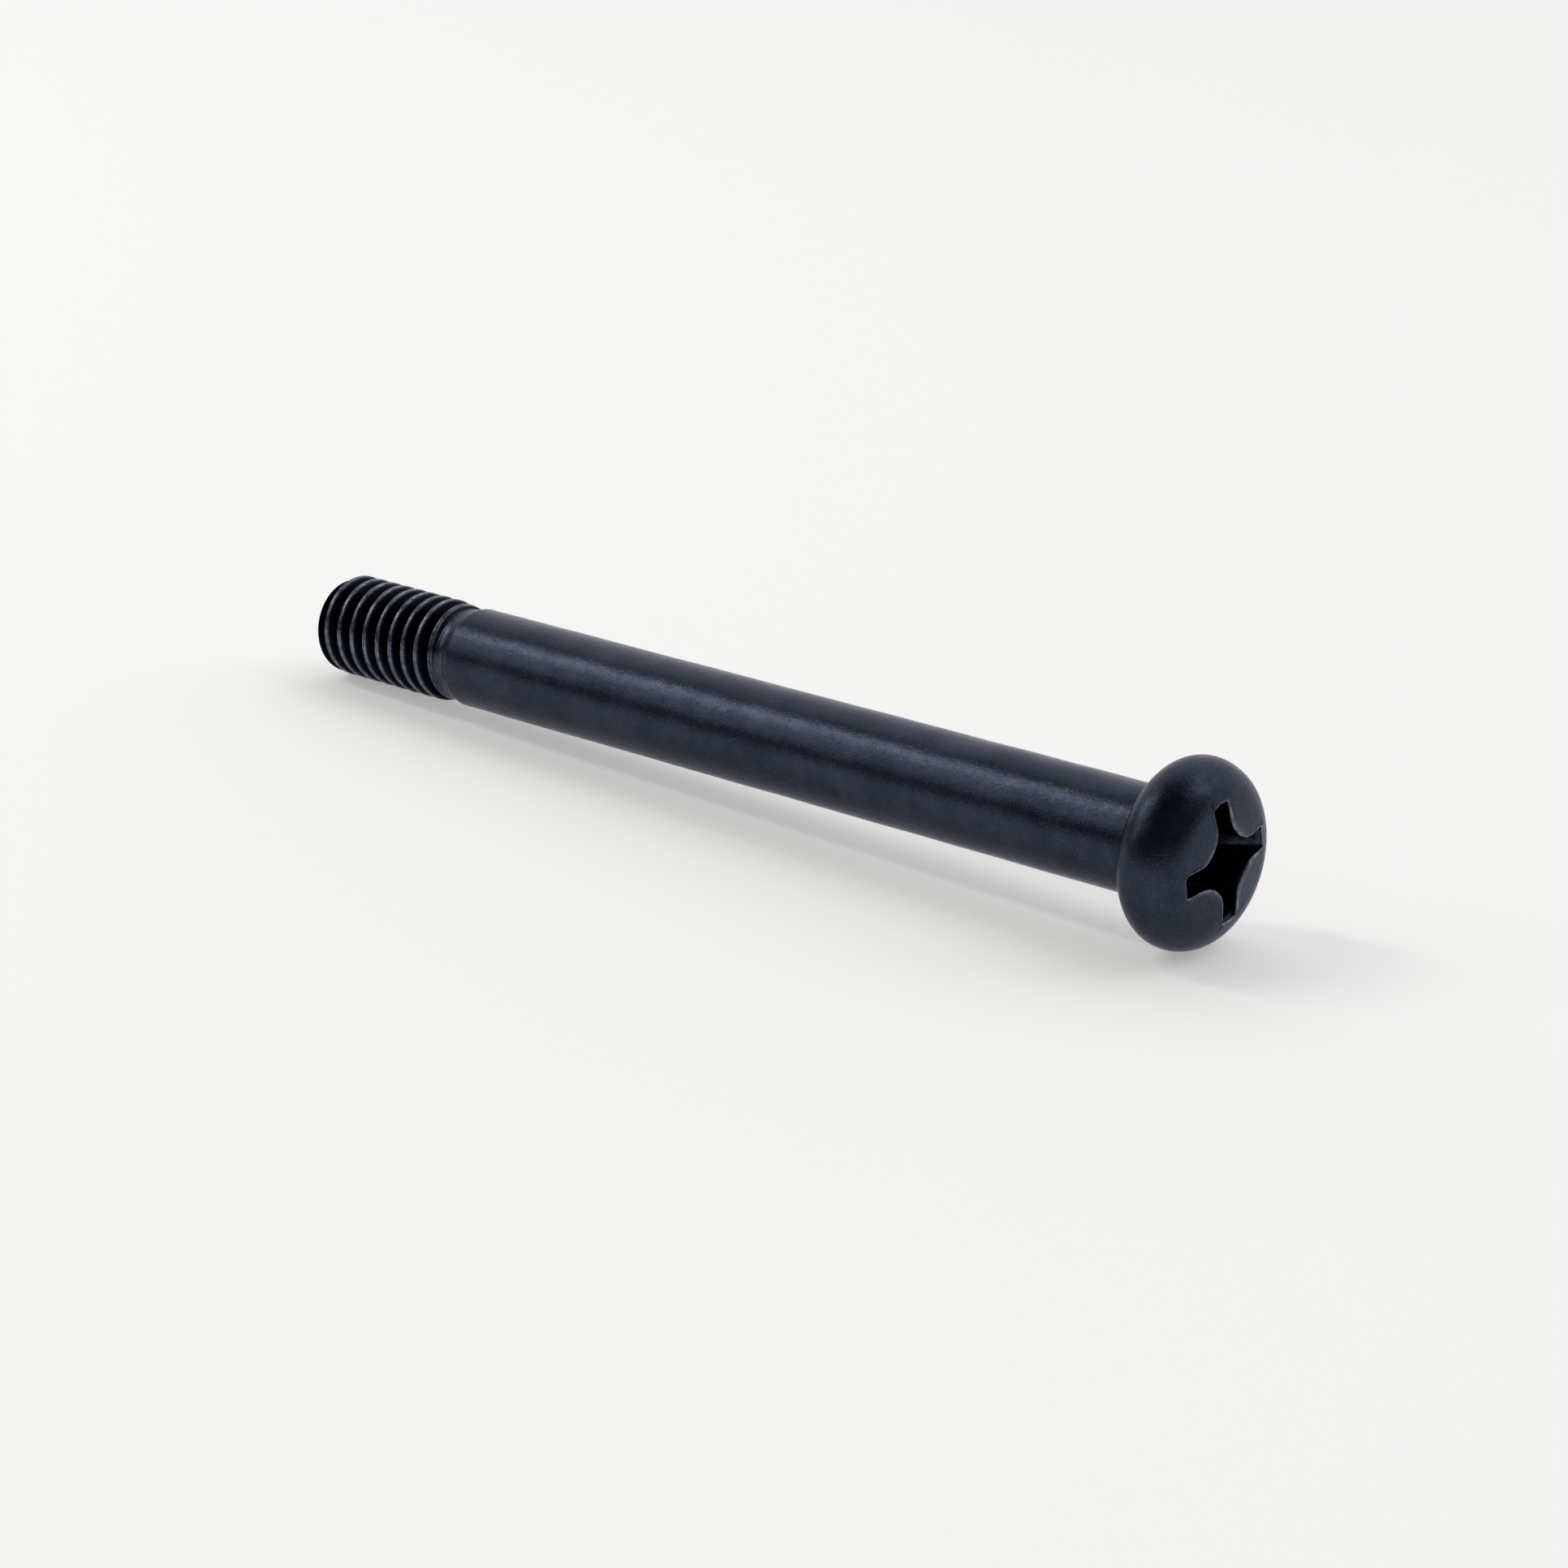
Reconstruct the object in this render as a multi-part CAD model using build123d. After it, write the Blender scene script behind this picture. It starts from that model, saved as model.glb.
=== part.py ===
from build123d import *
import math
import os

# A long pan-head machine screw in one piece of steel: a plain shank, a short rolled thread
# at the far end, and a cross recess in the head.
#
# The screw is drawn upright, along its own axis, with every height measured from the bearing
# face under the head: the head is above it and the thread at the far end below. It is laid
# down at the end, so that the axis is X with the head towards +X.
# All lengths are in millimetres and all angles in degrees.

# Lengths along the axis
UNDER_HEAD_LENGTH = 39.35
SHANK_LENGTH = 31.75  # plain part at full diameter
SHANK_CONE_LENGTH = 0.35  # step down from the shank to the neck
NECK_LENGTH = 0.2  # plain part beside the thread

# Radii about the axis
SHANK_RADIUS = 1.868
NECK_RADIUS = 1.715
UNDER_HEAD_FILLET = 0.2

# Head
HEAD_RADIUS = 3.24
HEAD_HEIGHT = 2.6
WIDEST_HEIGHT = 1.015  # where the head is at its full radius
LOWER_RIM_RADIUS = 1.065  # a little over the height, so the bearing face ends in a corner
UPPER_RIM_RADIUS = 1.405

# Thread, right-handed
PITCH = 0.7
CREST_RADIUS = 1.921
ROOT_RADIUS = 1.52
FLANK_ANGLE = 30.0  # of each flank, from square to the axis
CREST_WIDTH = 0.12
CREST_HEIGHT = -38.575  # of the helix's crest, on the side that ends up facing +Y
TIP_RADIUS = 1.25  # of the flat end, inside a 45 degree bevel
CREST_FADE = 0.95  # length over which the crest sinks to the neck
ROOT_FADE = 0.55  # length over which the root rises to the neck
FLANK_POINTS = 7  # along each flank's spiral outline

# Cross recess
WING_SPAN = 4.12  # across opposite wings, at the mouth
MOUTH_HEIGHT = 2.43
WING_END_ANGLE = 26.5  # of the wings' end walls, from the axis
LOWER_SPAN = 2.29  # across opposite wings, where the end walls stop
CORE_DIAMETER = 1.47  # of the flat-angled cone at the bottom
CORE_BOTTOM_ANGLE = 140.0
WING_WIDTH_AT_MOUTH = 0.76
WING_WIDTH_AT_LOWER_SPAN = 0.62
CROTCH_RADIUS_AT_MOUTH = 1.05
CROTCH_RADIUS_AT_LOWER_SPAN = 0.85
RECESS_TURN = 9.77  # of the wings about the axis, from the vertical when the screw lies down

# Working margins
CLEARANCE = 0.8  # how far a cutting shape runs past what it cuts
OVERLAP = 0.15  # how far two shapes that are joined or cut reach into each other

# Worked out from the driving dimensions
TIP_HEIGHT = -UNDER_HEAD_LENGTH
NECK_TOP = -SHANK_LENGTH - SHANK_CONE_LENGTH
NECK_BOTTOM = NECK_TOP - NECK_LENGTH
NECK_MIDDLE = NECK_BOTTOM + NECK_LENGTH / 2
FULL_TURN = 360.0
HALF_TURN = FULL_TURN / 2
QUARTER_TURN = FULL_TURN / 4
WING_END_SLOPE = math.tan(math.radians(WING_END_ANGLE))
LOWER_SPAN_HEIGHT = MOUTH_HEIGHT - (WING_SPAN - LOWER_SPAN) / 2 / WING_END_SLOPE
CORE_HEIGHT = LOWER_SPAN_HEIGHT - (LOWER_SPAN - CORE_DIAMETER) / 2
RECESS_BOTTOM = CORE_HEIGHT - CORE_DIAMETER / 2 / math.tan(math.radians(CORE_BOTTOM_ANGLE / 2))


def turned(points):
    """A solid of revolution about the axis, from its outline as (radius, height) points."""
    outline = Polyline(*[(radius, 0, height) for radius, height in points], close=True)
    return revolve(make_face(outline), Axis.Z)


def on_circle(centre, radius, angle):
    """The point of a circle at an angle about its centre."""
    across, up = centre
    return across + radius * math.cos(math.radians(angle)), up + radius * math.sin(math.radians(angle))


def arc(centre, radius, start, end):
    """The part of a circle from one angle to another."""
    return ThreePointArc(*[on_circle(centre, radius, angle) for angle in (start, (start + end) / 2, end)])


def crown_radius():
    """The radius of the crown that meets both the upper rim and the head's full height."""
    rim_offset = HEAD_RADIUS - UPPER_RIM_RADIUS
    rise = HEAD_HEIGHT - WIDEST_HEIGHT - UPPER_RIM_RADIUS
    return UPPER_RIM_RADIUS + (rim_offset**2 + rise**2) / (2 * rise)


def head():
    """The pan head: a flat bearing face, a rounded rim and a low crown."""
    lower = (HEAD_RADIUS - LOWER_RIM_RADIUS, WIDEST_HEIGHT)
    upper = (HEAD_RADIUS - UPPER_RIM_RADIUS, WIDEST_HEIGHT)
    crown = (0, HEAD_HEIGHT - crown_radius())
    face_edge = -math.degrees(math.asin(WIDEST_HEIGHT / LOWER_RIM_RADIUS))
    crown_edge = math.degrees(math.atan2(upper[1] - crown[1], upper[0]))
    with BuildSketch(Plane.XZ) as outline:
        with BuildLine():
            Line((0, HEAD_HEIGHT), (0, 0))
            Line((0, 0), on_circle(lower, LOWER_RIM_RADIUS, face_edge))
            arc(lower, LOWER_RIM_RADIUS, face_edge, 0)
            arc(upper, UPPER_RIM_RADIUS, 0, crown_edge)
            arc(crown, crown_radius(), crown_edge, QUARTER_TURN)
        make_face()
    return revolve(outline.sketch, Axis.Z)


def under_head_fillet():
    """The small ring that rounds the corner between the shank and the bearing face."""
    centre = (SHANK_RADIUS + UNDER_HEAD_FILLET, -UNDER_HEAD_FILLET)
    with BuildSketch(Plane.XZ) as outline:
        with BuildLine():
            arc(centre, UNDER_HEAD_FILLET, HALF_TURN, QUARTER_TURN)
            Polyline(
                (centre[0], 0),
                (centre[0], OVERLAP),
                (SHANK_RADIUS - OVERLAP, OVERLAP),
                (SHANK_RADIUS - OVERLAP, centre[1]),
                (SHANK_RADIUS, centre[1]),
            )
        make_face()
    return revolve(outline.sketch, Axis.Z)


def thread_section():
    """The thread cut square to its axis: crest and root arcs, joined by two spiral flanks."""
    axis = (0, 0)
    crest_edge = CREST_WIDTH / 2 / PITCH * FULL_TURN
    flank_rise = (CREST_RADIUS - ROOT_RADIUS) * math.tan(math.radians(FLANK_ANGLE))
    root_edge = crest_edge + flank_rise / PITCH * FULL_TURN
    steps = [i / (FLANK_POINTS - 1) for i in range(FLANK_POINTS)]
    flank = [
        (CREST_RADIUS + (ROOT_RADIUS - CREST_RADIUS) * t, crest_edge + (root_edge - crest_edge) * t)
        for t in steps
    ]
    with BuildSketch() as outline:
        with BuildLine():
            arc(axis, CREST_RADIUS, -crest_edge, crest_edge)
            Spline(*[on_circle(axis, radius, angle) for radius, angle in flank])
            arc(axis, ROOT_RADIUS, root_edge, FULL_TURN - root_edge)
            Spline(*[on_circle(axis, radius, -angle) for radius, angle in reversed(flank)])
        make_face()
    return outline.sketch.face()


def threaded_rod():
    """The section twisted along the axis, one turn for each pitch, from the tip to the neck."""
    length = NECK_MIDDLE - TIP_HEIGHT
    start_angle = (TIP_HEIGHT - CREST_HEIGHT) / PITCH * FULL_TURN
    twisted = Solid.extrude_linear_with_rotation(
        Rot(0, 0, start_angle) * thread_section(),
        center=(0, 0, 0),
        normal=(0, 0, length),
        angle=length / PITCH * FULL_TURN,
    )
    return Pos(0, 0, TIP_HEIGHT) * twisted


def above_the_grooves():
    """All the space above the thread, down to the cone on which its grooves run out."""
    slope = (NECK_RADIUS - ROOT_RADIUS) / ROOT_FADE
    inner = ROOT_RADIUS - OVERLAP
    outer = HEAD_RADIUS + CLEARANCE
    return turned(
        [
            (0, HEAD_HEIGHT),
            (outer, HEAD_HEIGHT),
            (outer, NECK_BOTTOM + (outer - NECK_RADIUS) / slope),
            (inner, NECK_BOTTOM - (NECK_RADIUS - inner) / slope),
            (0, NECK_BOTTOM - (NECK_RADIUS - inner) / slope),
        ]
    )


def shaft_outline():
    """Shank, neck and the outside of the thread, which is bevelled at the tip."""
    outside = CREST_RADIUS + OVERLAP
    crest_slope = (CREST_RADIUS - NECK_RADIUS) / CREST_FADE
    return turned(
        [
            (0, WIDEST_HEIGHT),
            (SHANK_RADIUS, WIDEST_HEIGHT),
            (SHANK_RADIUS, -SHANK_LENGTH),
            (NECK_RADIUS, NECK_TOP),
            (NECK_RADIUS, NECK_BOTTOM),
            (outside, NECK_BOTTOM - (outside - NECK_RADIUS) / crest_slope),
            (outside, TIP_HEIGHT + outside - TIP_RADIUS),
            (TIP_RADIUS, TIP_HEIGHT),
            (0, TIP_HEIGHT),
        ]
    )


def shaft():
    """Everything below the head, with the thread cut between its grooves and its outline."""
    return (threaded_rod() + above_the_grooves()) & shaft_outline()


def cross(height, width, crotch_radius):
    """The outline of the four wings at one height, with the corners between them rounded."""
    span = WING_SPAN + 2 * CLEARANCE
    outline = Rectangle(span, width) + Rectangle(width, span)
    crotches = [v for v in outline.vertices() if math.hypot(v.X, v.Y) < width]
    return Pos(0, 0, height) * fillet(crotches, crotch_radius)


def cross_recess():
    """The recess as a solid: four tapering wings inside a cone with an angled bottom."""
    depth = MOUTH_HEIGHT - LOWER_SPAN_HEIGHT
    narrowing = (WING_WIDTH_AT_MOUTH - WING_WIDTH_AT_LOWER_SPAN) / depth
    sharpening = (CROTCH_RADIUS_AT_MOUTH - CROTCH_RADIUS_AT_LOWER_SPAN) / depth
    levels = (RECESS_BOTTOM, HEAD_HEIGHT + CLEARANCE)
    outlines = [
        cross(
            level,
            WING_WIDTH_AT_MOUTH + (level - MOUTH_HEIGHT) * narrowing,
            CROTCH_RADIUS_AT_MOUTH + (level - MOUTH_HEIGHT) * sharpening,
        )
        for level in levels
    ]
    top = levels[1]
    top_radius = WING_SPAN / 2 + (top - MOUTH_HEIGHT) * WING_END_SLOPE
    cone = turned(
        [
            (0, RECESS_BOTTOM),
            (CORE_DIAMETER / 2, CORE_HEIGHT),
            (LOWER_SPAN / 2, LOWER_SPAN_HEIGHT),
            (top_radius, top),
            (0, top),
        ]
    )
    return Rot(0, 0, RECESS_TURN) * (loft(outlines, ruled=True) & cone)


def screw():
    """The whole screw, laid down with its axis along X and its head towards +X."""
    body = head() + shaft() + under_head_fillet() - cross_recess()
    lying = Plane(origin=(0, 0, 0), x_dir=(0, 1, 0), z_dir=(1, 0, 0))
    return lying.location * body


os.makedirs("parts", exist_ok=True)
piece = screw()
piece.label = "screw"
export_step(piece, "parts/screw.step")
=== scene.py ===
import bpy
import math
import numpy as np
from mathutils import Matrix, Vector

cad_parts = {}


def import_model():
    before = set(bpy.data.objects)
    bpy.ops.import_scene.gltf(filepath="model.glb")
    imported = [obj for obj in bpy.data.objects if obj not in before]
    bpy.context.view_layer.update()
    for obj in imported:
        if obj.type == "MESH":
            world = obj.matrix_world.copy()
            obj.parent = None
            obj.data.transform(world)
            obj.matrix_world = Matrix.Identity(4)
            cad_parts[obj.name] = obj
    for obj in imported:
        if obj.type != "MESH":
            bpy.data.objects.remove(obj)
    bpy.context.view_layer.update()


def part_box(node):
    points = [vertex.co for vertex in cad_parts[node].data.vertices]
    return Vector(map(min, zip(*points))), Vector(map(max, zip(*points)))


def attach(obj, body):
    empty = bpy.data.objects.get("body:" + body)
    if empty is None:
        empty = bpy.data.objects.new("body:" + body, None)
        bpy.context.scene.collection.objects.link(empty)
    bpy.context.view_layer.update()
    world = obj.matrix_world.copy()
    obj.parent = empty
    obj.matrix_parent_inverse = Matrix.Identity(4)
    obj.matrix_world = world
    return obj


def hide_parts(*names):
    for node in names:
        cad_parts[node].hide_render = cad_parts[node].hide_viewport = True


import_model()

# One black steel machine screw, lying with its axis along X and its head towards +X.
# It is one closed mesh: rings about the axis from the tip to the head, whose columns run on
# over the crown, into the cross recess and down to its bottom.
# The screw's sizes are in millimetres and become metres in screw_object(). The floor's size,
# the lights' sizes and distance and the camera's clipping are in metres.
MM = 0.001
FULL_TURN = 2 * math.pi
QUARTER_TURN = FULL_TURN / 4
EIGHTH_TURN = FULL_TURN / 8

# ---------------------------------------------------------------- the screw's dimensions
BOX_DIGITS = 4  # decimals to which the CAD model's box is read
low_corner, high_corner = (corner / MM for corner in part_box("screw"))

TIP = round(low_corner.x, BOX_DIGITS)  # X of the flat end
TIP_RADIUS = 1.25
TIP_DISH = 0.045  # how far the flat end is hollowed at its middle
SHANK_END = -31.75
NECK_TOP = -32.1
NECK_END = -32.3  # where the thread has run out
SHANK_RADIUS = 1.868
NECK_RADIUS = 1.715
FILLET = 0.2  # between the shank and the bearing face

PITCH = 0.7
CREST_RADIUS = 1.921
ROOT_RADIUS = 1.52
FLANK_SLOPE = 1 / math.tan(math.radians(30.0))  # fall in radius along the axis
CREST_WIDTH = 0.12
CREST_X = -38.575  # of a crest on the +Y side
CREST_FADE = 0.95  # length over which the crest sinks to the neck
GROOVE_END = -32.48  # where the last groove has risen to the neck
GROOVE_FADE = 0.34  # length over which it rises

FLAT_DEPTH = 0.006  # keeps the head inside the flats of the CAD model's own mesh
HEAD_RADIUS = round(high_corner.y, BOX_DIGITS) - FLAT_DEPTH
HEAD_HEIGHT = 2.6  # of the whole crown, as if it had no recess
WIDEST = 1.015  # X where the head is at its full radius
LOWER_RIM = 1.065
UPPER_RIM = 1.405
CROWN_RING = 2.36  # radius of the last circle before the rings turn into crosses
TOP_GAP = 0.0007  # keeps the raised lip inside the CAD model's box
HEAD_TOP = round(high_corner.x, BOX_DIGITS) - TOP_GAP  # X of the highest point left

WINGS = 4
WING_SPAN = 4.12  # across opposite wings, at the mouth
MOUTH = 2.43  # X of the recess's mouth
WING_WIDTH = 0.76  # at the mouth
WING_CORNER = 0.09  # rounding of the two corners at a wing's end
CROTCH = 1.05  # rounding of the corner between two wings, at the mouth
END_SLOPE = math.tan(math.radians(26.5))  # of the wings' end walls, from the axis
LOWER_SPAN = 2.29  # across opposite wings, where their end walls stop
CORE_DIAMETER = 1.47
CORE_BOTTOM_HALF = math.radians(70.0)  # half the angle of the cone that closes the recess
FLANK_RATE = 0.038  # how much a wing's flank moves in per millimetre of depth
CROTCH_RATE = 0.109  # how much the crotch's rounding shrinks per millimetre of depth
RECESS_TURN = math.radians(9.77)  # of the first wing, from +Y towards +Z
LIP = 0.08  # rounding of the recess's edge
BURR = 0.016  # how far the face is raised beside the recess
BURR_WIDTH = 0.16  # from the edge, over which the raising fades

# ---------------------------------------------------------------- mesh density
END_STEPS = 5
CORNER_STEPS = 5
SIDE_STEPS = 8
CROTCH_STEPS = 16
THREAD_STEP = 0.016
SHANK_STEP = 0.26

rng = np.random.default_rng(seed=7)


# ---------------------------------------------------------------- blends
def ramp(value, start, end):
    """0 at start and 1 at end, straight between them and level outside; end may be the lower."""
    return np.clip((value - start) / (end - start), 0, 1)


def bell(distance, width):
    """1 at no distance, falling away smoothly on both sides."""
    return np.exp(-((distance / width) ** 2))


def smooth_min(a, b, width):
    """The lower of two values, with the corner between them rounded over a width."""
    h = np.clip(0.5 + 0.5 * (b - a) / width, 0, 1)
    return b + (a - b) * h - width * h * (1 - h)


def smooth_max(a, b, width):
    """The higher of two values, with the corner between them rounded over a width."""
    return -smooth_min(-a, -b, width)


def angle_between(a, b):
    """The turn from b to a, between minus half a turn and half a turn."""
    return (a - b + math.pi) % FULL_TURN - math.pi


# ---------------------------------------------------------------- the recess's outline
def half_wing(span, width, corner, crotch):
    """Half of one wing's outline, from the middle of its end to the middle of a crotch."""
    half = width / 2
    middle_y = half - corner
    middle_x = math.sqrt((span / 2 - corner) ** 2 - middle_y**2)
    corner_start = math.atan2(middle_y, middle_x)
    points = []
    for i in range(END_STEPS):
        a = corner_start * i / END_STEPS
        points.append((span / 2 * math.cos(a), span / 2 * math.sin(a)))
    for i in range(CORNER_STEPS):
        a = corner_start + (QUARTER_TURN - corner_start) * i / CORNER_STEPS
        points.append((middle_x + corner * math.cos(a), middle_y + corner * math.sin(a)))
    for i in range(SIDE_STEPS):
        t = i / SIDE_STEPS
        points.append((middle_x + (half + crotch - middle_x) * t, half))
    for i in range(CROTCH_STEPS + 1):
        a = EIGHTH_TURN * i / CROTCH_STEPS
        points.append((half + crotch - crotch * math.sin(a), half + crotch - crotch * math.cos(a)))
    return points


def cross_outline(span, width, corner, crotch):
    """The whole outline as (y, z) rows, anticlockwise from the middle of the first wing's end."""
    half = half_wing(span, width, corner, crotch)
    wing = np.array(half + [(y, x) for x, y in reversed(half[1:-1])])
    y, z = wing[:, 0], wing[:, 1]
    rows = []
    for k in range(WINGS):
        a = RECESS_TURN + k * QUARTER_TURN
        c, s = math.cos(a), math.sin(a)
        rows.append(np.stack([y * c - z * s, y * s + z * c], -1))
    return np.concatenate(rows)


def recess_ring(height, spread=0.0):
    """The recess's outline at a height, moved outward by spread."""
    depth = MOUTH - height
    span = WING_SPAN - 2 * depth * END_SLOPE + 2 * spread
    width = WING_WIDTH - 2 * depth * FLANK_RATE + 2 * spread
    crotch = CROTCH - depth * CROTCH_RATE - spread
    return cross_outline(span, width, WING_CORNER + spread, crotch)


# the columns are the points of the recess's mouth, and circles have points at the same angles
mouth_outline = recess_ring(MOUTH)
angles = np.arctan2(mouth_outline[:, 1], mouth_outline[:, 0])
COLUMNS = len(angles)
circle = np.stack([np.cos(angles), np.sin(angles)], -1)

# ---------------------------------------------------------------- rings, from tip to recess
HEAD_START = 0.3  # X at which the duller finish of the head is complete

rings = []  # (COLUMNS, 3) arrays of x, y, z
wear_and_highlights = []  # wear and painted highlight at each point, where 1 is the colour of bare steel
painted_shades = []  # painted shade, by how deep in a groove or in the recess each point is
satins = []  # 1 on the head, whose finish is duller than the shank's


def add_ring(x, yz, wear_and_highlight=0.0, painted_shade=0.0):
    """Adds one ring; x, the bare-steel amount (partly painted highlight) and the painted shade are
    one value for the ring or one for each column.
    """
    x = np.broadcast_to(np.asarray(x, float), (COLUMNS,))
    rings.append(np.column_stack([x, yz[:, 0], yz[:, 1]]))
    wear_and_highlights.append(np.broadcast_to(np.asarray(wear_and_highlight, float), (COLUMNS,)))
    painted_shades.append(np.broadcast_to(np.asarray(painted_shade, float), (COLUMNS,)))
    satins.append(ramp(x, 0, HEAD_START))


# ---------------------------------------------------------------- flat end
TIP_STEPS = 16
TIP_INNER_RADIUS = 0.08  # of the smallest ring, which a fan of triangles closes
TIP_CORNER = 0.02  # between the flat end and its bevel


def tip_face():
    """The flat end, slightly dished."""
    face_edge = TIP_RADIUS - TIP_CORNER
    for r in np.linspace(TIP_INNER_RADIUS, face_edge, TIP_STEPS):
        dish = TIP_DISH * (1 - (r / face_edge) ** 2) ** 2
        add_ring(TIP + dish, circle * r)


# ---------------------------------------------------------------- thread
THREAD_START_GAP = 0.012  # from the flat end to the thread's first ring
CREST_ROUNDING = 0.03
ROOT_ROUNDING = 0.10
RUN_OUT_ROUNDING = 0.03
BEVEL_ROUNDING = 0.04

EDGE_LINE = 0.022  # half width of the pale line along each edge of a crest, partly wear and partly painted highlight
FLAT_WEAR_AND_HIGHLIGHT = 0.24  # on the crest between its two pale lines
FLAT_WEAR_EDGE = 0.01
FIRST_WEAR_AND_HIGHLIGHT = 0.35  # share of the wear and painted highlight that the crest has where it rises from the neck
FIRST_WEAR_LENGTH = 0.6
WORN_AND_LIT_RADIUS = (1.62, 1.72)  # from none to all of the wear and painted highlight
NECK_WEAR = 0.11
NECK_WEAR_LENGTH = 0.12  # past the last groove, over which the neck's wear starts

SHADE_DEPTH = (0.025, 0.115)  # below the crest, from none to all of a groove's shade
SHADE_START = 0.05  # beside the last groove's end, towards the neck
SHADE_LENGTH = 0.3
BEVEL_SHADE = (0.02, 0.04)  # below the bevel, from none to all of a groove's shade

NICKS = 90
NICK_DEPTHS = (0.004, 0.022)
NICK_SIZES = (0.03, 0.08)
NICK_REACH = 0.25  # along the axis, past which a nick leaves no mark
FIRST_NICK = 0.9  # from the flat end
LAST_NICK = 0.5  # from the neck
NICK_DEPTH_RANGE = 0.3  # above the root, from none to all of a nick's depth

nick_angle = rng.uniform(-math.pi, math.pi, NICKS)
nick_x = rng.uniform(TIP + FIRST_NICK, NECK_END - LAST_NICK, NICKS)
nick_depth = rng.uniform(*NICK_DEPTHS, NICKS)
nick_size = rng.uniform(*NICK_SIZES, NICKS)


def nicks(x):
    """Depths of the small knocks in the crests at one ring."""
    total = np.zeros(COLUMNS)
    near = np.abs(nick_x - x) < NICK_REACH
    for a, nx, depth, size in zip(nick_angle[near], nick_x[near], nick_depth[near], nick_size[near]):
        around = angle_between(angles, a) * CREST_RADIUS
        total += depth * np.exp(-(around**2 + (nx - x) ** 2) / size**2)
    return total


def crest_distance(x):
    """How far each column's point at x is from the nearest crest, along the axis."""
    turns = (x - CREST_X) / PITCH - angles / FULL_TURN
    return np.abs(turns - np.round(turns)) * PITCH


def bevel_radius(x):
    """Radius of the 45 degree bevel at the flat end."""
    return TIP_RADIUS + (x - TIP)


def thread_radius(x, from_crest):
    """Radii of one ring in the threaded part, before its nicks."""
    away = np.maximum(from_crest - CREST_WIDTH / 2, 0)
    ridge = smooth_min(CREST_RADIUS - away * FLANK_SLOPE, CREST_RADIUS, CREST_ROUNDING)
    ridge = smooth_max(ridge, ROOT_RADIUS, ROOT_ROUNDING)
    groove_floor = NECK_RADIUS - (GROOVE_END - x) / GROOVE_FADE * (NECK_RADIUS - ROOT_RADIUS)
    ridge = smooth_max(ridge, groove_floor, RUN_OUT_ROUNDING)
    crest_limit = NECK_RADIUS + (NECK_END - x) / CREST_FADE * (CREST_RADIUS - NECK_RADIUS)
    ridge = smooth_min(ridge, crest_limit, RUN_OUT_ROUNDING)
    return smooth_min(ridge, bevel_radius(x), BEVEL_ROUNDING)


def crest_wear_and_highlight(x, from_crest, radius):
    """Pale lines along the crest's two edges, duller between them, and a little on the neck; the
    crests' lines are partly bare steel and partly painted highlight.
    """
    line = bell(from_crest - CREST_WIDTH / 2, EDGE_LINE)
    flat = FLAT_WEAR_AND_HIGHLIGHT * ramp(from_crest, CREST_WIDTH / 2, CREST_WIDTH / 2 - FLAT_WEAR_EDGE)
    share = np.maximum(FIRST_WEAR_AND_HIGHLIGHT, ramp(x, NECK_END, NECK_END - FIRST_WEAR_LENGTH))
    crest = np.maximum(line, flat) * share * ramp(radius, *WORN_AND_LIT_RADIUS)
    neck_wear = NECK_WEAR * ramp(x, GROOVE_END, GROOVE_END + NECK_WEAR_LENGTH)
    return np.maximum(crest, neck_wear)


def thread_shade(x, radius):
    """How much painted shade each point has, by how deep it lies between the crests: 0 by the crest,
    on the bevel and near the neck.
    """
    first, full = SHADE_DEPTH
    shade = ramp(radius, CREST_RADIUS - first, CREST_RADIUS - full)
    start = GROOVE_END + SHADE_START
    shade = shade * ramp(x, start, start - SHADE_LENGTH)
    first, full = BEVEL_SHADE
    return shade * ramp(radius, bevel_radius(x) - first, bevel_radius(x) - full)


def thread():
    """The rolled thread, from the bevelled tip to the neck."""
    steps = int((NECK_END - TIP) / THREAD_STEP)
    for x in np.linspace(TIP + THREAD_START_GAP, NECK_END, steps):
        from_crest = crest_distance(x)
        radius = thread_radius(x, from_crest)
        nicked = radius - nicks(x) * ramp(radius, ROOT_RADIUS, ROOT_RADIUS + NICK_DEPTH_RANGE)
        wear_and_highlight = crest_wear_and_highlight(x, from_crest, radius)
        add_ring(x, circle * nicked[:, None], wear_and_highlight, thread_shade(x, radius))


# ---------------------------------------------------------------- neck and shank
NECK_STEPS = 46
NECK_START_GAP = 0.02  # from the thread's last ring to the neck's first
SHANK_OVERRUN = 0.12  # how far the neck's rings run on along the shank
CONE_FOOT_ROUNDING = 0.05
CONE_TOP_ROUNDING = 0.03
MARK_HEIGHT = 0.0015  # of the faint turning marks on the neck
MARK_WIDTH = 0.06
MARK_FADE = 0.1
CONE_WEAR_END = 0.05  # past the shank's end, towards the head
CONE_WEAR_LENGTH = 0.25

WAVE_TURNS = (1, 2, 2, 3, 3, 4)  # how often each of the shank's faint waves repeats round it
WAVE_LENGTHS = (2.2, 9.0)
WAVE_HEIGHT = 0.0016
SHANK_INSET = 0.004  # of the waves' middle below the true radius
SHANK_START_GAP = 0.2
SHANK_HEAD_GAP = 0.05  # from the shank's last ring to the fillet


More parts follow.
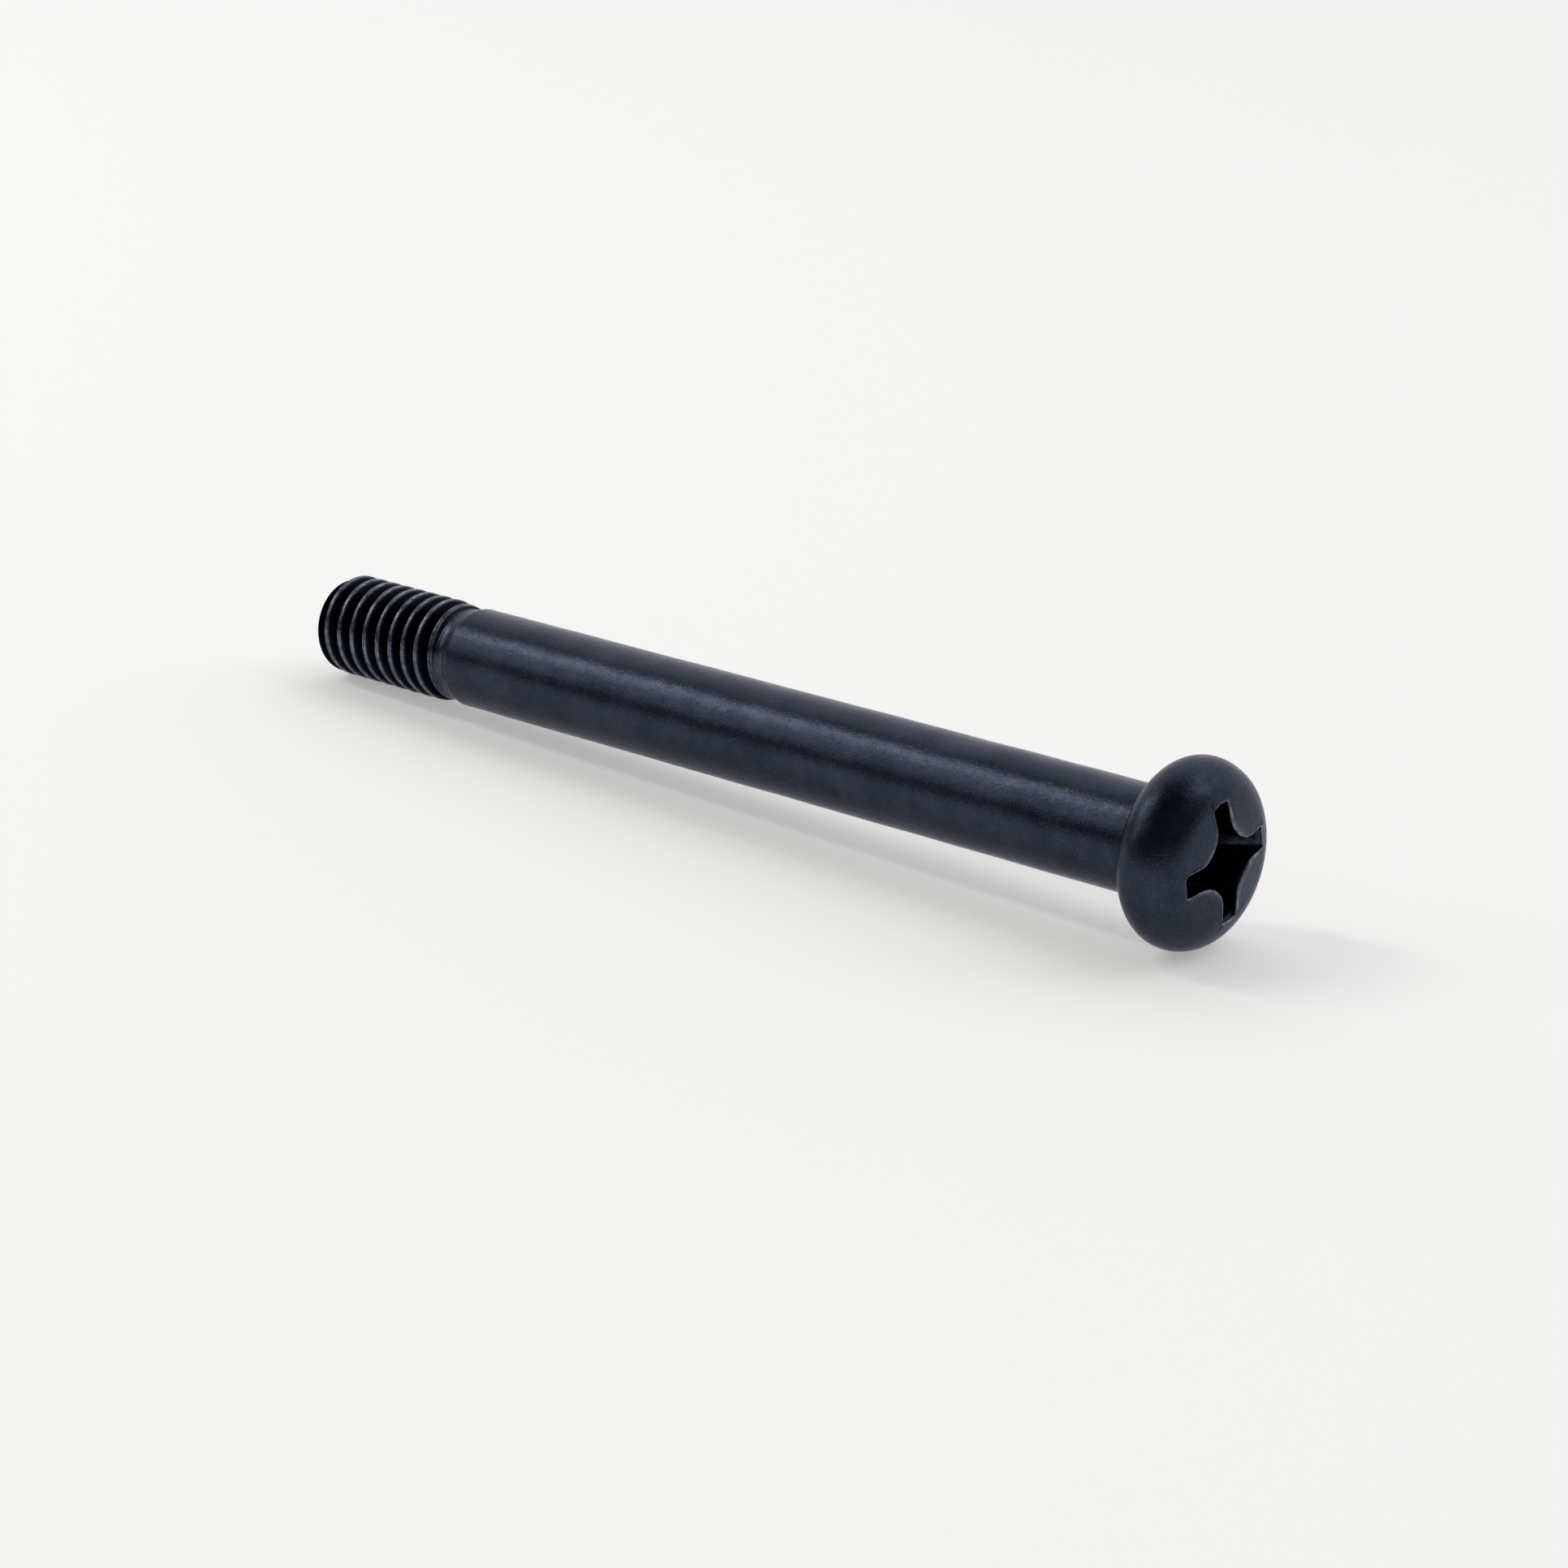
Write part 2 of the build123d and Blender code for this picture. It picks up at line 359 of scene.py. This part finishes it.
def neck():
    """The plain neck and the cone up to the shank."""
    for x in np.linspace(NECK_END + NECK_START_GAP, SHANK_END + SHANK_OVERRUN, NECK_STEPS):
        cone = NECK_RADIUS + (x - NECK_TOP) / (SHANK_END - NECK_TOP) * (SHANK_RADIUS - NECK_RADIUS)
        radius = smooth_max(cone, NECK_RADIUS, CONE_FOOT_ROUNDING)
        radius = smooth_min(radius, SHANK_RADIUS, CONE_TOP_ROUNDING)
        mark = MARK_HEIGHT * math.sin((x - NECK_END) / MARK_WIDTH * math.pi)
        mark *= ramp(x, NECK_TOP, NECK_TOP - MARK_FADE)
        wear_end = SHANK_END + CONE_WEAR_END
        wear_and_highlight = NECK_WEAR * ramp(x, wear_end, wear_end - CONE_WEAR_LENGTH)
        add_ring(x, circle * (radius + mark), wear_and_highlight)


def shank():
    """The plain shank, which is very slightly uneven."""
    phases = rng.uniform(0, FULL_TURN, len(WAVE_TURNS))
    lengths = rng.uniform(*WAVE_LENGTHS, len(WAVE_TURNS))
    start = SHANK_END + SHANK_START_GAP
    end = -FILLET - SHANK_HEAD_GAP
    for x in np.linspace(start, end, int((end - start) / SHANK_STEP)):
        wave = sum(
            WAVE_HEIGHT * np.sin(FULL_TURN * x / length + turns * angles + phase)
            for turns, length, phase in zip(WAVE_TURNS, lengths, phases)
        )
        add_ring(x, circle * (SHANK_RADIUS - SHANK_INSET + wave)[:, None])


# ---------------------------------------------------------------- head
FILLET_STEPS = 8
FACE_STEPS = 6
LOWER_RIM_STEPS = 30
UPPER_RIM_STEPS = 44
FACE_GAP = 0.04  # from the fillet to the bearing face's first ring
FACE_CORNER = 0.03  # from the bearing face's last ring to its edge
EDGE_RISE = 0.006  # the one ring that rounds the bearing face's edge
EDGE_INSET = 0.008
LOWER_RIM_GAP = 1.5  # degrees between the edge and the rim's first ring
UPPER_RIM_START = 88.0  # degrees from the axis
DENTS_START = 0.1  # X from which the head has dents

DENTS = [
    # (x, degrees about the axis from +Y towards +Z, length along, length around, depth)
    (1.98, 101.0, 0.12, 0.42, 0.075),
    (1.30, 160.0, 0.35, 0.30, 0.012),
    (1.75, 205.0, 0.30, 0.40, 0.010),
    (1.60, 60.0, 0.25, 0.40, 0.012),
    (1.20, 300.0, 0.30, 0.35, 0.010),
    (2.20, 20.0, 0.15, 0.30, 0.012),
]


def crown_numbers():
    """The crown's radius, its centre, and the radius at which it meets the upper rim."""
    offset = HEAD_RADIUS - UPPER_RIM
    rise = HEAD_HEIGHT - WIDEST - UPPER_RIM
    radius = UPPER_RIM + (offset**2 + rise**2) / (2 * rise)
    return radius, HEAD_HEIGHT - radius, offset * radius / (radius - UPPER_RIM)


CROWN_RADIUS, CROWN_CENTRE, CROWN_EDGE = crown_numbers()


def top_height(radius):
    """X of the head's top surface at a distance from the axis."""
    crown = CROWN_CENTRE + np.sqrt(CROWN_RADIUS**2 - np.minimum(radius, CROWN_EDGE) ** 2)
    from_rim_centre = np.maximum(radius, CROWN_EDGE) - (HEAD_RADIUS - UPPER_RIM)
    rim = WIDEST + np.sqrt(np.maximum(UPPER_RIM**2 - from_rim_centre**2, 0))
    return np.where(radius <= CROWN_EDGE, crown, rim)


def arc_points(centre, radius, start, end, steps):
    """(x, r) points along an arc; angles in degrees from the +X direction towards larger r."""
    turn = np.radians(np.linspace(start, end, steps))
    return [(centre[0] + radius * math.cos(a), centre[1] + radius * math.sin(a)) for a in turn]


def dented(x, radius):
    """Radii of one ring of the head after its shallow dents."""
    total = np.zeros(COLUMNS)
    for dent_x, degrees, along, around, depth in DENTS:
        turn = angle_between(angles, math.radians(degrees))
        total += depth * np.exp(-((x - dent_x) / along) ** 2 - (turn * radius / around) ** 2)
    return radius - total


def head_profile():
    """(x, r) points of the fillet, the bearing face and both rims, up to the crown's first ring."""
    fillet_centre = (-FILLET, SHANK_RADIUS + FILLET)
    lower = (WIDEST, HEAD_RADIUS - LOWER_RIM)
    upper = (WIDEST, HEAD_RADIUS - UPPER_RIM)
    face_angle = math.degrees(math.acos(-WIDEST / LOWER_RIM))
    face_edge = lower[1] + LOWER_RIM * math.sin(math.radians(face_angle))
    ring_angle = math.degrees(math.asin((CROWN_RING - upper[1]) / UPPER_RIM))
    profile = arc_points(fillet_centre, FILLET, 270, 360, FILLET_STEPS)
    face = np.linspace(fillet_centre[1] + FACE_GAP, face_edge - FACE_CORNER, FACE_STEPS)
    profile += [(0.0, r) for r in face]
    profile += [(EDGE_RISE, face_edge - EDGE_INSET)]
    profile += arc_points(lower, LOWER_RIM, face_angle - LOWER_RIM_GAP, 90, LOWER_RIM_STEPS)
    profile += arc_points(upper, UPPER_RIM, UPPER_RIM_START, ring_angle, UPPER_RIM_STEPS)
    return profile


def head():
    """The fillet, the bearing face and both rims, with dents."""
    for x, r in head_profile():
        radius = dented(x, r) if x > DENTS_START else np.full(COLUMNS, r)
        add_ring(x, circle * radius[:, None])


# ---------------------------------------------------------------- crown and recess
CROWN_STEPS = 34
LIP_STEPS = 7
WALL_STEPS = 23
LOWER_STEPS = 8
CORE_STEPS = 7

RIPPLE_WAVES = (3, 5, 8, 13, 21, 34)  # how often each wave repeats round the recess
RIPPLE_STRENGTHS = (0.5, 1.0)
OUTLINE_RIPPLE = 0.045
BURR_RIPPLE = 1.2
FACET_RIPPLE = 0.8

FACE_HIGHLIGHT = 0.35  # painted highlight just outside the lip
FACE_HIGHLIGHT_POWER = 12  # the painted highlight is gone a short way from the lip
# painted highlight along the recess's rounded edge
LIP_HIGHLIGHT = 0.75
FACET_HIGHLIGHT = 0.55  # painted highlight on lit facets of the walls
FACET_TURN = 0.50  # radians from a crotch
FACET_TURN_WIDTH = 0.16
FACET_DEPTH = 0.36  # share of the walls' depth
FACET_DEPTH_WIDTH = 0.16
RECESS_SHADE = 0.8
RECESS_SHADE_POWER = 1.5
CROTCH_SHADE_WIDTH = 0.24  # radians
CROTCH_SHADE_DEPTH = 0.15  # share of the walls' depth by which a crotch is in full shade


def ripple(size):
    """A smooth seeded unevenness round the recess, one value for each column."""
    along = np.arange(COLUMNS) / COLUMNS * FULL_TURN
    waves = [(n, rng.uniform(0, FULL_TURN), rng.uniform(*RIPPLE_STRENGTHS)) for n in RIPPLE_WAVES]
    return size * sum(a * np.sin(n * along + p) for n, p, a in waves) / len(waves)


def crown(burr, lip_outline):
    """Rings that turn from a circle into the lip's outline, with a painted highlight close to the
    lip; gives the height of the last.
    """
    gap = np.linalg.norm(circle * CROWN_RING - lip_outline, axis=1)
    for t in np.linspace(0, 1, CROWN_STEPS)[1:]:
        yz = circle * CROWN_RING * (1 - t) + lip_outline * t
        raised = burr * bell((1 - t) * gap, BURR_WIDTH)
        height = np.minimum(top_height(np.linalg.norm(yz, axis=1)) + raised, HEAD_TOP)
        add_ring(height, yz, FACE_HIGHLIGHT * t**FACE_HIGHLIGHT_POWER)
    return height


def lip(height, uneven):
    """The rounded edge of the recess, with a painted highlight along it."""
    for a in np.radians(np.linspace(0, 90, LIP_STEPS)[1:]):
        yz = recess_ring(MOUTH, LIP * (1 - math.sin(a))) * uneven
        add_ring(height - LIP * (1 - math.cos(a)), yz, LIP_HIGHLIGHT * math.cos(a))


def walls(start, lower_height, uneven, facet_strength):
    """The wings' ends, which slope in, and their flanks, which go nearly straight down, with painted
    highlights on facets near the crotches and painted shade that deepens downward.
    """
    from_crotch = np.abs((angles - RECESS_TURN) % QUARTER_TURN - EIGHTH_TURN)
    # painted highlight: pale patches on the flanks near the crotches, where facets catch the light
    lit_facets = FACET_HIGHLIGHT * bell(from_crotch - FACET_TURN, FACET_TURN_WIDTH) * facet_strength
    shaded = RECESS_SHADE * bell(from_crotch, CROTCH_SHADE_WIDTH)
    for t in np.linspace(0, 1, WALL_STEPS)[1:]:
        level = MOUTH - LIP + (lower_height - MOUTH + LIP) * t
        evened = 1 + (uneven - 1) * (1 - t)
        wear_and_highlight = lit_facets * bell(t - FACET_DEPTH, FACET_DEPTH_WIDTH)
        crotch_shade = shaded * min(1.0, t / CROTCH_SHADE_DEPTH)
        # painted shade: darker deeper down the walls and in the crotches
        shade = np.maximum(RECESS_SHADE * t**RECESS_SHADE_POWER, crotch_shade)
        add_ring(start + (lower_height - start) * t, recess_ring(level) * evened, wear_and_highlight, shade)


def recess_floor(lower_height):
    """The wings' floors, at 45 degrees to the axis, and a flat cone; gives X of the bottom."""
    lower_ring = recess_ring(lower_height)
    core_height = lower_height - (LOWER_SPAN - CORE_DIAMETER) / 2
    bottom = core_height - CORE_DIAMETER / 2 / math.tan(CORE_BOTTOM_HALF)
    r = np.linalg.norm(lower_ring, axis=1)
    for t in np.linspace(0, 1, LOWER_STEPS)[1:]:
        limit = LOWER_SPAN / 2 + (CORE_DIAMETER - LOWER_SPAN) / 2 * t
        yz = lower_ring * np.minimum(1, limit / r)[:, None]
        add_ring(lower_height + (core_height - lower_height) * t, yz, 0.0, RECESS_SHADE)
    r_core = np.minimum(r, CORE_DIAMETER / 2)
    for t in np.linspace(0, 1, CORE_STEPS)[1:-1]:
        yz = lower_ring / r[:, None] * (r_core * (1 - t))[:, None]
        add_ring(core_height + (bottom - core_height) * t, yz, 0.0, RECESS_SHADE)
    return bottom


def crown_and_recess():
    """Everything inside the crown's first ring; gives X of the recess's bottom."""
    uneven = 1 + ripple(OUTLINE_RIPPLE)[:, None]
    burr = BURR * (1 + ripple(BURR_RIPPLE))
    facet_strength = 1 + ripple(FACET_RIPPLE)
    lip_height = crown(burr, recess_ring(MOUTH, LIP) * uneven)
    lip(lip_height, uneven)
    lower_height = MOUTH - (WING_SPAN - LOWER_SPAN) / 2 / END_SLOPE
    walls(lip_height - LIP, lower_height, uneven, facet_strength)
    return recess_floor(lower_height)


# ---------------------------------------------------------------- mesh
SHARP_ANGLE = math.radians(38.0)  # steeper edges than this stay sharp


def mesh_faces():
    """Four-sided faces between the rings, and a fan of triangles at each end."""
    count = len(rings)
    tip_centre, bottom_centre = count * COLUMNS, count * COLUMNS + 1
    last = (count - 1) * COLUMNS
    columns = [(j, (j + 1) % COLUMNS) for j in range(COLUMNS)]
    faces = []
    for a in range(0, last, COLUMNS):
        b = a + COLUMNS
        faces += [(a + j, a + k, b + k, b + j) for j, k in columns]
    for j, k in columns:
        faces.append((tip_centre, k, j))
        faces.append((last + j, last + k, bottom_centre))
    return faces


def screw_object(recess_bottom):
    """The screw, from all the rings and the middle points of its two ends."""
    ends = np.array([(TIP + TIP_DISH, 0, 0), (recess_bottom, 0, 0)])
    points = np.concatenate(rings + [ends]) * MM
    mesh = bpy.data.meshes.new("screw_mesh")
    mesh.from_pydata(points.tolist(), [], mesh_faces())
    mesh.validate()
    # stored per point: bare-steel amount with painted highlight, painted shade, and the head's
    # duller finish
    for name, values in (("wear_and_highlight", wear_and_highlights), ("painted_shade", painted_shades), ("satin", satins)):
        numbers = np.concatenate(values + [np.zeros(len(ends))])
        attribute = mesh.attributes.new(name, "FLOAT", "POINT")
        attribute.data.foreach_set("value", numbers.astype(np.float32))
    mesh.polygons.foreach_set("use_smooth", [True] * len(mesh.polygons))
    mesh.set_sharp_from_angle(angle=SHARP_ANGLE)
    obj = bpy.data.objects.new("black_screw", mesh)
    bpy.context.scene.collection.objects.link(obj)
    return obj


# ---------------------------------------------------------------- shader nodes
BUMP_HEIGHT = 0.022 * MM


def noise(tree, place, scale, detail, roughness):
    """A noise pattern that stays fixed to the object; gives a value from 0 to 1."""
    node = tree.nodes.new("ShaderNodeTexNoise")
    node.inputs["Scale"].default_value = scale
    node.inputs["Detail"].default_value = detail
    node.inputs["Roughness"].default_value = roughness
    tree.links.new(place.outputs["Object"], node.inputs["Vector"])
    return node.outputs["Fac"]


def painted(tree, name):
    """The value that the mesh stores at each point under a name."""
    node = tree.nodes.new("ShaderNodeAttribute")
    node.attribute_name = name
    return node.outputs["Fac"]


def spread(tree, source, old, new, interpolation="LINEAR"):
    """A value moved from one range, given as (low, high), to another."""
    node = tree.nodes.new("ShaderNodeMapRange")
    node.interpolation_type = interpolation
    for socket, value in zip(("From Min", "From Max", "To Min", "To Max"), old + new):
        node.inputs[socket].default_value = value
    tree.links.new(source, node.inputs["Value"])
    return node.outputs["Result"]


def combine(tree, operation, a, b):
    """The sum, product or maximum of two values, as the operation says."""
    node = tree.nodes.new("ShaderNodeMath")
    node.operation = operation
    tree.links.new(a, node.inputs[0])
    tree.links.new(b, node.inputs[1])
    return node.outputs["Value"]


def mix_colour(tree, factor, a, b):
    """Colour a where the factor is 0 and b where it is 1; a may be another node's output."""
    node = tree.nodes.new("ShaderNodeMix")
    node.data_type = "RGBA"
    tree.links.new(factor, node.inputs["Factor"])
    sockets = {s.name: s for s in node.inputs if s.type == "RGBA"}
    if isinstance(a, tuple):
        sockets["A"].default_value = a
    else:
        tree.links.new(a, sockets["A"])
    sockets["B"].default_value = b
    return [s for s in node.outputs if s.type == "RGBA"][0]


def bump(tree, height, strength):
    """Fine relief from a pattern's values."""
    node = tree.nodes.new("ShaderNodeBump")
    node.inputs["Strength"].default_value = strength
    node.inputs["Distance"].default_value = BUMP_HEIGHT
    tree.links.new(height, node.inputs["Height"])
    return node


# ---------------------------------------------------------------- black steel
EDGE_TINT = (0.80, 0.81, 0.84, 1)  # of reflections at grazing angles
DARK_COAT = (0.022, 0.028, 0.048, 1)
LIGHT_COAT = (0.036, 0.043, 0.069, 1)
SPECK = (0.080, 0.085, 0.105, 1)
# painted shade that the grooves and the recess are darkened towards
PAINTED_GROOVE_SHADE = (0.003, 0.004, 0.008, 1)
# colour of bare steel, used both for wear and for painted highlights
BARE_STEEL_AND_HIGHLIGHT = (0.30, 0.31, 0.35, 1)

CLOUD_RANGE = (0.35, 0.68)  # noise values from the darkest to the lightest coat
SPECK_RANGE = (0.56, 0.70)  # noise values from no speck to the strongest
SPECK_STRENGTH = 0.60
PATCH_RANGE = (0.40, 0.62)  # noise values from the least worn patches to the most
LEAST_WORN = 0.25
GLOSS_RANGE = (0.3, 0.7)  # noise values from the smoothest patches to the roughest
ROUGHNESS = (0.17, 0.30)
SATIN_ROUGHNESS = 0.06  # added on the head
MOTTLE_BUMP = 0.5
GRAIN_BUMP = 0.48


def black_steel():
    """Satin black conversion coating: slightly blue and mottled, with bare-looking crests, partly
    from use and partly painted highlight, a painted highlight along the recess's edge and on facets
    inside it, and painted shade between the thread's crests and in the recess.
    """
    material = bpy.data.materials.new("black_steel")
    material.use_nodes = True
    tree = material.node_tree
    shader = tree.nodes["Principled BSDF"]
    shader.inputs["Metallic"].default_value = 1.0
    shader.inputs["Specular Tint"].default_value = EDGE_TINT
    place = tree.nodes.new("ShaderNodeTexCoord")
    cloud = noise(tree, place, scale=700.0, detail=4.0, roughness=0.6)
    mottle = noise(tree, place, scale=3600.0, detail=5.0, roughness=0.62)
    grain = noise(tree, place, scale=14000.0, detail=3.0, roughness=0.6)

    tint = spread(tree, cloud, CLOUD_RANGE, (0.0, 1.0))
    colour = mix_colour(tree, tint, DARK_COAT, LIGHT_COAT)
    specks = spread(tree, grain, SPECK_RANGE, (0.0, SPECK_STRENGTH))
    colour = mix_colour(tree, specks, colour, SPECK)
    # painted shade in the grooves and the recess
    colour = mix_colour(tree, painted(tree, "painted_shade"), colour, PAINTED_GROOVE_SHADE)
    patches = spread(tree, mottle, PATCH_RANGE, (LEAST_WORN, 1.0))
    # wear and painted highlight: the bare-steel colour on crests, the lip and lit facets
    worn_and_lit = combine(tree, "MULTIPLY", painted(tree, "wear_and_highlight"), patches)
    colour = mix_colour(tree, worn_and_lit, colour, BARE_STEEL_AND_HIGHLIGHT)
    tree.links.new(colour, shader.inputs["Base Color"])

    gloss = spread(tree, mottle, GLOSS_RANGE, ROUGHNESS)
    duller = spread(tree, painted(tree, "satin"), (0.0, 1.0), (0.0, SATIN_ROUGHNESS))
    tree.links.new(combine(tree, "ADD", gloss, duller), shader.inputs["Roughness"])

    coarse = bump(tree, mottle, MOTTLE_BUMP)
    fine = bump(tree, grain, GRAIN_BUMP)
    tree.links.new(coarse.outputs["Normal"], fine.inputs["Normal"])
    tree.links.new(fine.outputs["Normal"], shader.inputs["Normal"])
    return material


tip_face()
thread()
neck()
shank()
head()
screw = screw_object(crown_and_recess())
screw.data.materials.append(black_steel())
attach(screw, "root")
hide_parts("screw")

# ---------------------------------------------------------------- floor
FLOOR_HALF = 2.5  # metres from the floor's middle to its edges
FLOOR_GAP = 0.012  # below the head, so that nothing cuts into the floor
THREAD_REST = 0.8  # from the tip to the crests that the floor meets
FLOOR_WHITE = 0.93
FLOOR_ROUGHNESS = 0.9
FLOOR_GLOW = 0.34
WHITE = (1, 1, 1, 1)


def glowing_white():
    """A white table lit a little from below, as in a light box."""
    material = bpy.data.materials.new("floor_white")
    material.use_nodes = True
    shader = material.node_tree.nodes["Principled BSDF"]
    shader.inputs["Base Color"].default_value = (FLOOR_WHITE, FLOOR_WHITE, FLOOR_WHITE, 1)
    shader.inputs["Roughness"].default_value = FLOOR_ROUGHNESS
    shader.inputs["Emission Color"].default_value = WHITE
    shader.inputs["Emission Strength"].default_value = FLOOR_GLOW
    return material


def floor():
    """A plane that the head's rim and the thread's crests all but touch."""
    thread_touch = Vector((TIP + THREAD_REST, 0, -CREST_RADIUS))
    head_touch = Vector((WIDEST, 0, -HEAD_RADIUS))
    slope = math.atan2(thread_touch.z - head_touch.z, head_touch.x - thread_touch.x)
    half = FLOOR_HALF
    corners = [(-half, -half, 0), (half, -half, 0), (half, half, 0), (-half, half, 0)]
    mesh = bpy.data.meshes.new("floor_mesh")
    mesh.from_pydata(corners, [], [(0, 1, 2, 3)])
    mesh.materials.append(glowing_white())
    plane = bpy.data.objects.new("floor", mesh)
    bpy.context.scene.collection.objects.link(plane)
    plane.rotation_euler = (0, slope, 0)
    plane.location = (head_touch - Vector((0, 0, FLOOR_GAP))) * MM


# ---------------------------------------------------------------- lights
AIM = Vector((-18.0, 0, 0)) * MM  # near the middle of the screw
LIGHT_DISTANCE = 0.60
ALONG_Y = (0, 1, 0)
UPRIGHT = (0, 0, 1)
WARM_WHITE = (1, 0.95, 0.84)
PLAIN_WHITE = (1, 1, 1)

LIGHTS = [
    # (name, direction from the screw, (width, height along up), radiance, up, colour)
    ("key_strip", (-0.624, -0.275, 0.731), (0.34, 0.06), 10.0, ALONG_Y, WARM_WHITE),
    ("top_front", (-0.62, -0.57, 0.53), (0.34, 0.26), 1.3, ALONG_Y, PLAIN_WHITE),
    ("top_right", (0.50, 0.42, 0.76), (0.36, 0.30), 0.9, ALONG_Y, PLAIN_WHITE),
    ("side_glow", (0.75, -0.30, 0.50), (0.10, 0.25), 0.3, UPRIGHT, PLAIN_WHITE),
]

BRIGHT_SIDE = (-0.35, 1.0, 0.0)  # direction of the room's bright side, which is beyond the screw
DIM_EDGE = (0.15, 0.42)  # along BRIGHT_SIDE, where the dim side ends and full light begins
DIM_STRENGTH = 0.08


def area_light(name, direction, size, radiance, up, colour):
    """A rectangular soft light that faces the screw from a direction."""
    width, height = size
    data = bpy.data.lights.new(name, "AREA")
    data.shape = "RECTANGLE"
    data.size = width
    data.size_y = height
    data.energy = radiance * math.pi * width * height
    data.color = colour
    light = bpy.data.objects.new(name, data)
    bpy.context.scene.collection.objects.link(light)
    back = Vector(direction).normalized()
    across = Vector(up).cross(back).normalized()
    turn = Matrix((across, back.cross(across), back)).transposed().to_4x4()
    light.matrix_world = Matrix.Translation(AIM + back * LIGHT_DISTANCE) @ turn


def world():
    """A white room that is dim on the camera's side; the camera itself sees plain white."""
    studio = bpy.data.worlds.new("studio")
    bpy.context.scene.world = studio
    studio.use_nodes = True
    tree = studio.node_tree
    place = tree.nodes.new("ShaderNodeTexCoord")
    lean = tree.nodes.new("ShaderNodeVectorMath")
    lean.operation = "DOT_PRODUCT"
    lean.inputs[1].default_value = BRIGHT_SIDE
    tree.links.new(place.outputs["Generated"], lean.inputs[0])
    side = spread(tree, lean.outputs["Value"], DIM_EDGE, (DIM_STRENGTH, 1.0), "SMOOTHSTEP")
    path = tree.nodes.new("ShaderNodeLightPath")
    strength = combine(tree, "MAXIMUM", side, path.outputs["Is Camera Ray"])
    background = tree.nodes["Background"]
    background.inputs["Color"].default_value = WHITE
    tree.links.new(strength, background.inputs["Strength"])


floor()
world()
for light in LIGHTS:
    area_light(*light)

# ---------------------------------------------------------------- camera
CAMERA_PLACE = Vector((70.316, -97.775, 42.580)) * MM
CAMERA_DOWN = 18.66  # degrees below level
CAMERA_ROUND = 41.606  # degrees from looking along +Y, towards -X
LENS = 90.0
SENSOR_WIDTH = 36.0
CLIP_START = 0.005
CLIP_END = 20.0


def camera():
    """A long lens that looks down at the screw from its head's side."""
    data = bpy.data.cameras.new("camera")
    data.lens = LENS
    data.sensor_width = SENSOR_WIDTH
    data.clip_start = CLIP_START
    data.clip_end = CLIP_END
    obj = bpy.data.objects.new("camera", data)
    bpy.context.scene.collection.objects.link(obj)
    obj.location = CAMERA_PLACE
    obj.rotation_euler = (math.radians(90 - CAMERA_DOWN), 0, math.radians(CAMERA_ROUND))
    bpy.context.scene.camera = obj


camera()
bpy.context.scene.view_settings.view_transform = "Standard"
